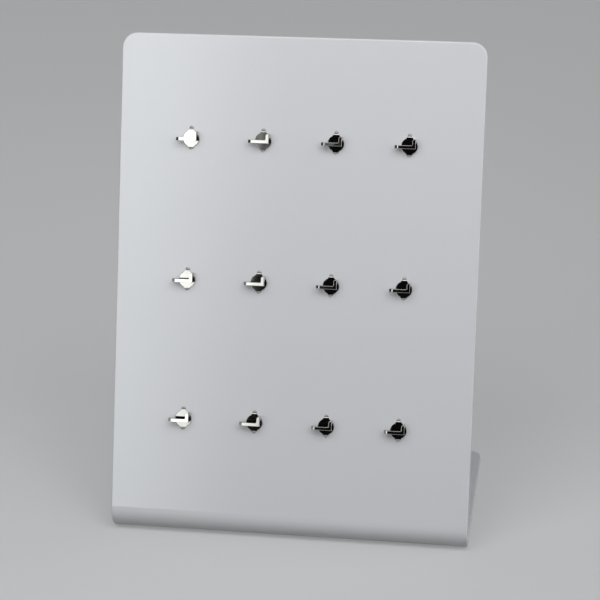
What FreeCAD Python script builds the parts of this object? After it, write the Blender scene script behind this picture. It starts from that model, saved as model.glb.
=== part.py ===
# Pendant display stand.
#
# One sheet of white acrylic is bent along a line near its foot. The long part is the panel,
# which leans back. The short part is the base, which lies flat behind the bend.
# Twelve small plated hooks stand on the front of the panel, in three rows of four.
# Each hook is one piece of brass: a round plate, an upright post near its right rim, an arm
# that runs from the post to the left and turns back at its tip, and two prongs that pass
# through holes above and below the plate and are folded flat behind the panel. The holes
# are a little large, and the hooks hang low in them.
#
# Frame: X to the right, Y to the back, Z up, in millimetres. The panel faces the -Y side.
# The origin is under the middle of the whole stand, on the surface that it stands on.

import FreeCAD, Part

import math
import os

from FreeCAD import Placement, Rotation, Vector


# Acrylic sheet
sheet_thickness = 3.0
sheet_width = 190.5
panel_length = 251.5      # flat part of the panel, from the bend to the top edge
base_length = 112.0       # flat part of the base, from the bend to the back edge
lean_angle = 15.0         # the panel's lean, in degrees from upright
bend_inner_radius = 9.0
corner_radius = 8.0       # the four rounded corners of the flat sheet
edge_round = 0.8          # flame-polished edge, on both faces of the sheet

# Rows of hooks on the panel
hook_columns = 4
column_pitch = 38.1
row_names = ("top", "middle", "bottom")
row_pitch = 74.0
top_row_drop = 54.0       # from the top edge down to the centres of the top row's plates

# Round plate of a hook, which lies on the panel
plate_diameter = 8.8
plate_thickness = 0.8
plate_edge_round = 0.2

# Post and arm of a hook. Across is measured to the right from the plate's centre, height
# up from it along the panel, and reach straight out from the panel's face.
hook_reach = 5.5          # from the panel's face to the front of the post and the arm
post_right = 3.5          # right side of the post
post_width = 1.65
post_top = 3.6            # top of the post above the plate's centre
arm_height = 1.75
arm_drop = 1.3            # underside of the arm and the post, below the plate's centre
arm_depth = 3.6           # thickness of the arm, front to back
arm_tip = 7.3             # left end of the arm, from the plate's centre
tip_turn_length = 1.5     # the tip turns back towards the panel over this length
tip_turn_depth = 0.85     # and goes this far back
tip_round = 1.2           # between the arm's front and the tip that is turned back
hook_turn_angle = 0.95    # the front faces a little to the left, in degrees
post_crown_round = 0.9    # upper left corner of the post
inner_corner_round = 0.6  # corner between the post and the top of the arm
hook_edge_round = 0.2

# Prongs of a hook, made of the same metal as its plate
prong_width = 1.6
prong_root_width = 3.4    # at the plate's rim, from where it tapers to the bend
prong_bend_radius = 0.25  # on the inside of each of the two bends
prong_fold_length = 2.2   # flat end behind the panel
prong_hole_play = 0.3     # room between a prong's corners and its hole
prong_hole_rest = 0.01    # room left where a hook hangs low in its holes

# Two positions or lengths nearer than this are the same.
tolerance = 1e-6


# Directions on the panel: up along it, and straight out of its face
lean = math.radians(lean_angle)
PANEL_UP = Vector(0, math.sin(lean), math.cos(lean))
PANEL_OUT = Vector(0, -math.cos(lean), math.sin(lean))
SIDEWAYS = Vector(1, 0, 0)
UP = Vector(0, 0, 1)
BACK = Vector(0, 1, 0)

bend_outer_radius = bend_inner_radius + sheet_thickness
plate_radius = plate_diameter / 2

# The bend's centre line lies so far forward that the origin is under the stand's middle.
bend_centre = Vector(0, (bend_outer_radius - base_length) / 2, bend_outer_radius)
panel_foot = bend_centre + PANEL_OUT * bend_outer_radius
panel_top = panel_foot + PANEL_UP * panel_length

# A prong leaves the plate at its rim, and its outer face stands this far from the centre.
prong_inner_face = plate_radius + prong_bend_radius
prong_middle = prong_inner_face + plate_thickness / 2
prong_hole_radius = math.hypot(prong_width, plate_thickness) / 2 + prong_hole_play

# The upper prong's first bend starts at the panel's face, level with the plate's rim. A hook
# hangs so low that the sides of this bend all but touch the lower edge of its hole.
upper_hole_radius = prong_hole_radius - prong_hole_rest
upper_hole_height = plate_radius + math.sqrt(upper_hole_radius ** 2 - (prong_width / 2) ** 2)
hook_sag = upper_hole_height - prong_middle


def sheet_profile():
    """Side outline of the bent sheet, in the plane X = 0."""
    inward = PANEL_OUT * -sheet_thickness
    halfway = math.radians(-90 - (90 + lean_angle) / 2)
    middle = Vector(0, math.cos(halfway), math.sin(halfway))
    base_front = bend_centre - UP * bend_outer_radius
    base_back = base_front + BACK * base_length
    lift = UP * sheet_thickness
    edges = [
        Part.LineSegment(base_back, base_front),
        Part.Arc(base_front, bend_centre + middle * bend_outer_radius, panel_foot),
        Part.LineSegment(panel_foot, panel_top),
        Part.LineSegment(panel_top, panel_top + inward),
        Part.LineSegment(panel_top + inward, panel_foot + inward),
        Part.Arc(panel_foot + inward, bend_centre + middle * bend_inner_radius, base_front + lift),
        Part.LineSegment(base_front + lift, base_back + lift),
        Part.LineSegment(base_back + lift, base_back),
    ]
    return Part.Face(Part.Wire([edge.toShape() for edge in edges]))


def is_corner_edge(edge):
    """True for the four short edges at the corners of the sheet."""
    if abs(edge.Length - sheet_thickness) > tolerance or len(edge.Vertexes) != 2:
        return False
    return abs(edge.Vertexes[0].X - edge.Vertexes[1].X) < tolerance


def is_skin(face):
    """True for the broad faces of the sheet, and False for its narrow edge faces."""
    surface = face.Surface
    if isinstance(surface, Part.Cylinder):
        return surface.Axis.cross(SIDEWAYS).Length < tolerance
    normals = (PANEL_OUT, UP)
    return any(surface.Axis.cross(normal).Length < tolerance for normal in normals)


def outline_edges(solid):
    """Edges where a broad face of the sheet meets a narrow one."""
    found = []
    for edge in solid.Edges:
        sides = solid.ancestorsOfType(edge, Part.Face)
        if len(sides) == 2 and is_skin(sides[0]) != is_skin(sides[1]):
            found.append(edge)
    return found


def plate_centres():
    """Each hook's name and the centre of its plate, on the panel's face."""
    centres = {}
    left_column = -(hook_columns - 1) / 2 * column_pitch
    for row, row_name in enumerate(row_names):
        drop = top_row_drop + row * row_pitch
        for column in range(hook_columns):
            across = left_column + column * column_pitch
            name = "hook_{}_{}".format(row_name, column + 1)
            centres[name] = panel_top - PANEL_UP * drop + SIDEWAYS * across
    return centres


def make_sheet():
    """Bent sheet with rounded corners, polished edges and two holes for each hook."""
    profile = sheet_profile()
    profile.translate(SIDEWAYS * (-sheet_width / 2))
    sheet = profile.extrude(SIDEWAYS * sheet_width)
    corners = [edge for edge in sheet.Edges if is_corner_edge(edge)]
    sheet = sheet.makeFillet(corner_radius, corners)
    sheet = sheet.makeFillet(edge_round, outline_edges(sheet))
    drills = []
    for centre in plate_centres().values():
        for side in (1, -1):
            height = side * prong_middle + hook_sag
            start = centre + PANEL_UP * height + PANEL_OUT * sheet_thickness
            depth = 3 * sheet_thickness
            drills.append(Part.makeCylinder(prong_hole_radius, depth, start, PANEL_OUT * -1))
    return sheet.cut(drills)


def make_plate():
    """Round plate on the panel's face, with its front edge eased."""
    plate = Part.makeCylinder(plate_radius, plate_thickness, Vector(), BACK * -1)
    front = [edge for edge in plate.Edges if edge.BoundBox.YMax < -plate_thickness / 2]
    return plate.makeFillet(plate_edge_round, front)


def post_outline(left, right, bottom, top):
    """Upright outline of the post, with its upper left corner rounded, at Y = 0."""
    crown = post_crown_round
    turn = crown * (1 - math.sqrt(0.5))
    edges = [
        Part.LineSegment(Vector(left, 0, bottom), Vector(right, 0, bottom)),
        Part.LineSegment(Vector(right, 0, bottom), Vector(right, 0, top)),
        Part.LineSegment(Vector(right, 0, top), Vector(left + crown, 0, top)),
        Part.Arc(
            Vector(left + crown, 0, top),
            Vector(left + turn, 0, top - turn),
            Vector(left, 0, top - crown),
        ),
        Part.LineSegment(Vector(left, 0, top - crown), Vector(left, 0, bottom)),
    ]
    return Part.Face(Part.Wire([edge.toShape() for edge in edges]))


def make_arm(post_left):
    """Arm that runs left from the post's side, with its tip turned back."""
    front = -hook_reach
    back = arm_depth - hook_reach
    turn_start = tip_turn_length - arm_tip
    corners = [
        Vector(post_left, front, -arm_drop),
        Vector(post_left, back, -arm_drop),
        Vector(-arm_tip, back, -arm_drop),
        Vector(-arm_tip, front + tip_turn_depth, -arm_drop),
        Vector(turn_start, front, -arm_drop),
    ]
    arm = Part.Face(Part.makePolygon(corners + corners[:1])).extrude(UP * arm_height)
    tip_edges = [
        edge for edge in arm.Edges
        if edge.BoundBox.XMax < turn_start + tolerance and edge.BoundBox.YMax < front + tolerance
    ]
    return arm.makeFillet(tip_round, tip_edges)


def make_post_and_arm():
    """Post that stands on the plate, and the arm, with their front turned a little left."""
    left = post_right - post_width
    arm_top = arm_height - arm_drop
    root = plate_thickness - plate_edge_round
    post = post_outline(left, post_right, -arm_drop, post_top)
    post.translate(BACK * -hook_reach)
    post = post.extrude(BACK * (hook_reach - root))
    hook = post.fuse(make_arm(left)).removeSplitter()
    inner_corner = [
        edge for edge in hook.Edges
        if abs(edge.BoundBox.XMin - left) < tolerance and abs(edge.BoundBox.XMax - left) < tolerance
        and abs(edge.BoundBox.ZMin - arm_top) < tolerance
        and abs(edge.BoundBox.ZMax - arm_top) < tolerance
    ]
    hook = hook.makeFillet(inner_corner_round, inner_corner)
    front_edges = [edge for edge in hook.Edges if edge.BoundBox.YMax < tolerance - hook_reach]
    hook = hook.makeFillet(hook_edge_round, front_edges)
    hook.rotate(Vector(post_right, -hook_reach, 0), UP, -hook_turn_angle)
    return hook


def make_prong(side):
    """Prong above (side 1) or below (side -1) the plate, bent into its hole and clinched."""
    inner = prong_bend_radius
    outer = inner + plate_thickness
    reach = plate_radius
    root = plate_radius - plate_thickness
    fold_end = plate_radius - prong_fold_length
    deep = sheet_thickness - inner
    quarter = math.sqrt(0.5)

    def point(height, depth):
        return Vector(0, depth, side * height)

    edges = [
        Part.LineSegment(point(root, 0), point(root, -plate_thickness)),
        Part.LineSegment(point(root, -plate_thickness), point(reach, -plate_thickness)),
        Part.Arc(
            point(reach, -plate_thickness),
            point(reach + outer * quarter, inner - outer * quarter),
            point(reach + outer, inner),
        ),
        Part.LineSegment(point(reach + outer, inner), point(reach + outer, deep)),
        Part.Arc(
            point(reach + outer, deep),
            point(reach + outer * quarter, deep + outer * quarter),
            point(reach, deep + outer),
        ),
        Part.LineSegment(point(reach, deep + outer), point(fold_end, deep + outer)),
        Part.LineSegment(point(fold_end, deep + outer), point(fold_end, deep + inner)),
        Part.LineSegment(point(fold_end, deep + inner), point(reach, deep + inner)),
        Part.Arc(
            point(reach, deep + inner),
            point(reach + inner * quarter, deep + inner * quarter),
            point(reach + inner, deep),
        ),
        Part.LineSegment(point(reach + inner, deep), point(reach + inner, inner)),
        Part.Arc(
            point(reach + inner, inner),
            point(reach + inner * quarter, inner - inner * quarter),
            point(reach, 0),
        ),
        Part.LineSegment(point(reach, 0), point(root, 0)),
    ]
    profile = Part.Face(Part.Wire([edge.toShape() for edge in edges]))
    prong = profile.translated(SIDEWAYS * (-prong_width / 2)).extrude(SIDEWAYS * prong_width)

    # In front of the panel the prong tapers from its wide root at the plate's rim.
    half_root = prong_root_width / 2
    half_prong = prong_width / 2
    rim = math.sqrt(plate_radius ** 2 - half_root ** 2)
    corners = [
        Vector(-half_root, 0, side * root),
        Vector(half_root, 0, side * root),
        Vector(half_root, 0, side * rim),
        Vector(half_prong, 0, side * (reach + outer)),
        Vector(-half_prong, 0, side * (reach + outer)),
        Vector(-half_root, 0, side * rim),
    ]
    taper = Part.Face(Part.makePolygon(corners + corners[:1])).extrude(BACK * -plate_thickness)
    wide = profile.translated(SIDEWAYS * -half_root).extrude(SIDEWAYS * prong_root_width)
    return prong.fuse(wide.common(taper))


def make_hook():
    """One hook about the centre of its plate's back, with the panel's face at Y = 0."""
    hook = make_plate().fuse([make_post_and_arm(), make_prong(1), make_prong(-1)])
    return hook.removeSplitter().Solids[0]


def export(name, shape):
    """Write one sub-part, after checking that it is a single valid solid."""
    if not shape.isValid() or len(shape.Solids) != 1:
        raise ValueError(name + " is not one valid solid")
    shape.Solids[0].exportStep(os.path.join("parts", name + ".step"))


def main():
    os.makedirs("parts", exist_ok=True)
    export("acrylic_sheet", make_sheet())
    tilt = Rotation(SIDEWAYS, -lean_angle)
    hook = make_hook()
    for name, centre in plate_centres().items():
        placed = hook.copy()
        placed.Placement = Placement(centre, tilt)
        export(name, placed)


main()
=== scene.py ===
import math

import bpy
from mathutils import Euler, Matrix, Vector

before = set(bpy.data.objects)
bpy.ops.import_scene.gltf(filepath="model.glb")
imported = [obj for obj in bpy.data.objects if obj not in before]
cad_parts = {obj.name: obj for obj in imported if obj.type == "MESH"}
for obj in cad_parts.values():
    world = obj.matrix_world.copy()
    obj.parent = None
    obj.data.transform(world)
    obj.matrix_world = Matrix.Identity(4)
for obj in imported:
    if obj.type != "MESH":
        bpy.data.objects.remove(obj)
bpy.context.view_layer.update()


# Pendant display stand: a leaning panel of white acrylic with rows of small chromed hooks.
# Lengths are in metres, in the frame of the CAD model: X to the right, Y to the back, Z up.
# Light levels are those at which 1 shows as white.

MM = 0.001

# Camera, placed by fitting it to the panel's corners and the hooks' plates in the photograph
CAMERA_PLACE = (0.1479, -0.9855, 0.4890)
CAMERA_TURN = 8.64            # degrees to the left of straight ahead
CAMERA_TILT = 20.59           # degrees down
CAMERA_ROLL = -0.29           # degrees
CAMERA_LENS = 118.45          # millimetres
CAMERA_SENSOR = 36.0          # millimetres, the width
CAMERA_NEAR = 0.05
CAMERA_FAR = 100.0

FLOOR_SIZE = 80.0
FLOOR_GLOW = 0.20             # makes the floor look paler than the light that it throws up

# Softbox over the front of the stand, turned to the upper part of the panel
SOFTBOX_PLACE = (0.0, -0.48, 0.74)
SOFTBOX_TARGET = (0.0, 0.05, 0.30)
SOFTBOX_WIDTH = 1.1
SOFTBOX_HEIGHT = 0.5
SOFTBOX_LIGHT = 2.15

# The room around the stand. Its unlit end and its lights have soft edges, each a pair: where the
# light or the unlit end stops, and where it is full. A pair is in degrees up at a top, and
# elsewhere in degrees to the left of straight in front, unless a comment says otherwise.
ROOM_LIGHT = 0.08

UNLIT_LIGHT = 0.006           # the unlit end of the room, behind the camera
UNLIT_LEFT = (20.0, 8.0)
UNLIT_RIGHT = (-45.0, -25.0)
UNLIT_TOP = (34.0, 24.0)

BACK_LIGHT = 3.6              # low behind the stand and at its left
BACK_FRONT = (0.1, 0.6)       # Y of a direction 1 long
BACK_RIGHT = (0.3, -0.1)      # X of a direction 1 long
BACK_TOP = (17.0, 7.0)

SCREEN_LIGHT = 1.0            # a wide fabric screen at the right
SCREEN_FRONT = (-20.0, -40.0)
SCREEN_BACK = (-130.0, -110.0)
SCREEN_TOP = (60.0, 40.0)

WINDOW_LIGHT = 3.4            # the brightest part of the window at the left, near its right edge
WINDOW_FAR_LIGHT = 1.8        # the rest of the window
WINDOW_FADE = (14.0, 22.0)    # from the brightest part to the rest
WINDOW_RIGHT = (9.38, 13.1)
WINDOW_LEFT = (58.0, 44.0)
WINDOW_TOP = (21.0, 17.0)
WINDOW_LEAN = 0.2             # degrees that its right edge stands further left low down
WINDOW_LEAN_HEIGHT = (5.0, 14.0)


def linear(code):
    """Linear red, green, blue and alpha of an sRGB colour written as #RRGGBB."""
    channels = [int(code[place:place + 2], 16) / 255 for place in (1, 3, 5)]
    return [c / 12.92 if c <= 0.04045 else ((c + 0.055) / 1.055) ** 2.4 for c in channels] + [1.0]


def add(tree, kind, inputs=None, **settings):
    """Add one node to a tree, with its settings, and set its inputs or link them to nodes."""
    node = tree.nodes.new(kind)
    for name, value in settings.items():
        setattr(node, name, value)
    for key, value in (inputs or {}).items():
        if isinstance(value, bpy.types.Node):
            value = value.outputs[0]
        if isinstance(value, bpy.types.NodeSocket):
            tree.links.new(value, node.inputs[key])
        else:
            node.inputs[key].default_value = value
    return node


def new_material(name):
    """A material without nodes, and its node tree."""
    material = bpy.data.materials.new(name)
    material.use_nodes = True
    material.node_tree.nodes.clear()
    return material, material.node_tree


def cast_acrylic():
    """Opal white acrylic, cast as a sheet, flame-polished at its edges and bent while hot."""
    # To the eye it is a cool, milky white, which light enters a little way, under a clear gloss
    # that shows the room softly.
    material, tree = new_material("cast_acrylic_opal_white")
    place = add(tree, "ShaderNodeTexCoord").outputs["Object"]

    # Heating for the bend leaves the gloss a little wavy.
    waves = add(tree, "ShaderNodeTexNoise", {
        "Vector": place, "Scale": 1 / (35 * MM), "Detail": 1.0,
    })
    bump = add(tree, "ShaderNodeBump", {"Height": waves, "Strength": 0.05, "Distance": 1 * MM})

    # Handling leaves a faint haze. Its rub marks are too fine to show, so it is drawn coarser, in
    # patches 20 mm wide.
    haze = add(tree, "ShaderNodeTexNoise", {
        "Vector": place, "Scale": 1 / (20 * MM), "Detail": 4.0,
    })
    gloss = add(tree, "ShaderNodeMapRange", {"Value": haze, "To Min": 0.05, "To Max": 0.11})

    shader = add(tree, "ShaderNodeBsdfPrincipled", {
        "Base Color": linear("#E5E6EA"),
        "Roughness": gloss,
        "IOR": 1.49,
        "Subsurface Weight": 0.25,
        "Subsurface Radius": (1.0, 1.0, 1.0),
        "Subsurface Scale": 1.5 * MM,
        "Normal": bump,
    })
    add(tree, "ShaderNodeOutputMaterial", {"Surface": shader})
    return material


def bright_chrome():
    """Bright chromium plated over nickel on stamped and tumbled brass."""
    # To the eye it is a clean mirror that takes its tones from the room: white where it shows
    # the window, and black where it shows the unlit end.
    material, tree = new_material("bright_chrome_plate")
    place = add(tree, "ShaderNodeTexCoord").outputs["Object"]

    # Tumbling leaves soft waves under the plating, a few millimetres from one to the next.
    waves = add(tree, "ShaderNodeTexNoise", {
        "Vector": place, "Scale": 1 / (4 * MM), "Detail": 0.0,
    })
    bump = add(tree, "ShaderNodeBump", {"Height": waves, "Strength": 0.02, "Distance": 0.3 * MM})

    # The plating's own grain is too fine to show, so its haze is drawn coarser, 1 mm wide.
    haze = add(tree, "ShaderNodeTexNoise", {
        "Vector": place, "Scale": 1 / (1 * MM), "Detail": 3.0,
    })
    gloss = add(tree, "ShaderNodeMapRange", {"Value": haze, "To Min": 0.02, "To Max": 0.04})

    shader = add(tree, "ShaderNodeBsdfPrincipled", {
        "Base Color": linear("#BEBBB8"),
        "Metallic": 1.0,
        "Roughness": gloss,
        "Normal": bump,
    })
    add(tree, "ShaderNodeOutputMaterial", {"Surface": shader})
    return material


def matt_paper():
    """Pale seamless paper, rolled smooth and uncoated."""
    # To the eye it is an even pale grey without gloss, with a soft shadow where the stand is.
    # It throws less light up on the stand than it seems to.
    material, tree = new_material("seamless_paper")
    ray = add(tree, "ShaderNodeLightPath").outputs
    seen = ray["Is Camera Ray"]
    for more in ("Is Glossy Ray", "Is Transmission Ray"):
        seen = add(tree, "ShaderNodeMath", {0: seen, 1: ray[more]}, operation="MAXIMUM")

    dull = add(tree, "ShaderNodeBsdfDiffuse", {"Color": linear("#828384"), "Roughness": 0.5})
    paper = add(tree, "ShaderNodeBsdfDiffuse", {"Color": linear("#B5B6B7"), "Roughness": 0.5})
    glow = add(tree, "ShaderNodeEmission", {"Color": linear("#FEFEFF"), "Strength": FLOOR_GLOW})
    pale = add(tree, "ShaderNodeAddShader", {0: paper, 1: glow})
    both = add(tree, "ShaderNodeMixShader", {0: seen, 1: dull, 2: pale})
    add(tree, "ShaderNodeOutputMaterial", {"Surface": both})
    return material


def make_floor():
    """A wide plain floor under the stand."""
    half = FLOOR_SIZE / 2
    corners = [(-half, -half, 0), (half, -half, 0), (half, half, 0), (-half, half, 0)]
    mesh = bpy.data.meshes.new("floor")
    mesh.from_pydata(corners, [], [(0, 1, 2, 3)])
    floor = bpy.data.objects.new("floor", mesh)
    bpy.context.scene.collection.objects.link(floor)
    floor.data.materials.append(matt_paper())


def make_softbox():
    """A wide soft light over the front of the stand, which the camera doesn't see."""
    light = bpy.data.lights.new("softbox_above", "AREA")
    light.shape = "RECTANGLE"
    light.size = SOFTBOX_WIDTH
    light.size_y = SOFTBOX_HEIGHT
    light.energy = SOFTBOX_LIGHT * math.pi * SOFTBOX_WIDTH * SOFTBOX_HEIGHT
    softbox = bpy.data.objects.new("softbox_above", light)
    bpy.context.scene.collection.objects.link(softbox)
    softbox.location = SOFTBOX_PLACE
    aim = Vector(SOFTBOX_TARGET) - Vector(SOFTBOX_PLACE)
    softbox.rotation_euler = aim.to_track_quat("-Z", "Y").to_euler()
    softbox.visible_camera = False


def soft_edges(tree, level, edges, kind="SMOOTHSTEP"):
    """A level times one soft edge after another. Each is a value and a pair for that value."""
    for value, (dark, full) in edges:
        edge = add(tree, "ShaderNodeMapRange", {
            "Value": value, "From Min": dark, "From Max": full,
        }, interpolation_type=kind)
        level = add(tree, "ShaderNodeMath", {0: edge, 1: level}, operation="MULTIPLY")
    return level


def make_world():
    """A dim room with an unlit end, a window, a screen and a low light behind the stand."""
    world = bpy.data.worlds.new("studio")
    bpy.context.scene.world = world
    world.use_nodes = True
    tree = world.node_tree
    tree.nodes.clear()

    # Degrees to the left of straight in front of the panel, and degrees up
    axis = add(tree, "ShaderNodeSeparateXYZ", {
        "Vector": add(tree, "ShaderNodeTexCoord").outputs["Generated"],
    }).outputs
    front = add(tree, "ShaderNodeMath", {0: axis["Y"], 1: -1.0}, operation="MULTIPLY")
    turn = add(tree, "ShaderNodeMath", {0: axis["X"], 1: front}, operation="ARCTAN2")
    left = add(tree, "ShaderNodeMath", {0: turn, 1: -math.degrees(1)}, operation="MULTIPLY")
    rise = add(tree, "ShaderNodeMath", {0: axis["Z"]}, operation="ARCSINE")
    height = add(tree, "ShaderNodeMath", {0: rise, 1: math.degrees(1)}, operation="MULTIPLY")

    # The unlit end of the room, which makes the hooks at the right dark
    unlit = soft_edges(tree, 1.0, (
        (left, UNLIT_LEFT), (left, UNLIT_RIGHT), (height, UNLIT_TOP),
    ))
    room = add(tree, "ShaderNodeMapRange", {
        "Value": unlit, "To Min": ROOM_LIGHT, "To Max": UNLIT_LIGHT,
    })

    # The low light behind the stand is for the back of the panel, and the screen for the right
    # side of the stand.
    behind = soft_edges(tree, BACK_LIGHT, (
        (axis["Y"], BACK_FRONT), (axis["X"], BACK_RIGHT), (height, BACK_TOP),
    ))
    screen = soft_edges(tree, SCREEN_LIGHT, (
        (left, SCREEN_FRONT), (left, SCREEN_BACK), (height, SCREEN_TOP),
    ))
    for more in (behind, screen):
        room = add(tree, "ShaderNodeMath", {0: room, 1: more}, operation="ADD")

    # The window makes the hooks at the left white. Its right edge leans a little, and it is
    # brightest some way inside that edge.
    lean_low, lean_high = WINDOW_LEAN_HEIGHT
    lean = add(tree, "ShaderNodeMapRange", {
        "Value": height, "From Min": lean_low, "From Max": lean_high,
        "To Min": WINDOW_LEAN, "To Max": 0.0,
    })
    inside = add(tree, "ShaderNodeMath", {0: left, 1: lean}, operation="SUBTRACT")
    fade_start, fade_end = WINDOW_FADE
    glow = add(tree, "ShaderNodeMapRange", {
        "Value": left, "From Min": fade_start, "From Max": fade_end,
        "To Min": WINDOW_LIGHT, "To Max": WINDOW_FAR_LIGHT,
    }, interpolation_type="SMOOTHSTEP")
    glow = soft_edges(tree, glow, ((inside, WINDOW_RIGHT),), "LINEAR")
    glow = soft_edges(tree, glow, ((left, WINDOW_LEFT), (height, WINDOW_TOP)))

    dim = add(tree, "ShaderNodeBackground", {"Color": linear("#F6F6F7"), "Strength": room})
    window = add(tree, "ShaderNodeBackground", {"Color": linear("#F9FFFB"), "Strength": glow})
    both = add(tree, "ShaderNodeAddShader", {0: dim, 1: window})
    add(tree, "ShaderNodeOutputWorld", {"Surface": both})


def make_camera():
    """The camera at the photograph's place and angle."""
    camera = bpy.data.cameras.new("camera")
    camera.lens = CAMERA_LENS
    camera.sensor_width = CAMERA_SENSOR
    camera.clip_start = CAMERA_NEAR
    camera.clip_end = CAMERA_FAR
    viewer = bpy.data.objects.new("camera", camera)
    bpy.context.scene.collection.objects.link(viewer)
    viewer.location = CAMERA_PLACE
    level = Euler((math.radians(90 - CAMERA_TILT), 0, math.radians(CAMERA_TURN))).to_matrix()
    roll = Euler((0, 0, math.radians(CAMERA_ROLL))).to_matrix()
    viewer.rotation_euler = (level @ roll).to_euler()
    bpy.context.scene.camera = viewer


def dress(node, material):
    """Give a CAD node its material."""
    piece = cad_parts[node]
    piece.data.materials.clear()
    piece.data.materials.append(material)


make_camera()
make_world()
make_floor()
make_softbox()

acrylic = cast_acrylic()
chrome = bright_chrome()
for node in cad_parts:
    dress(node, acrylic if node == "acrylic_sheet" else chrome)

bpy.context.scene.view_settings.view_transform = "Standard"
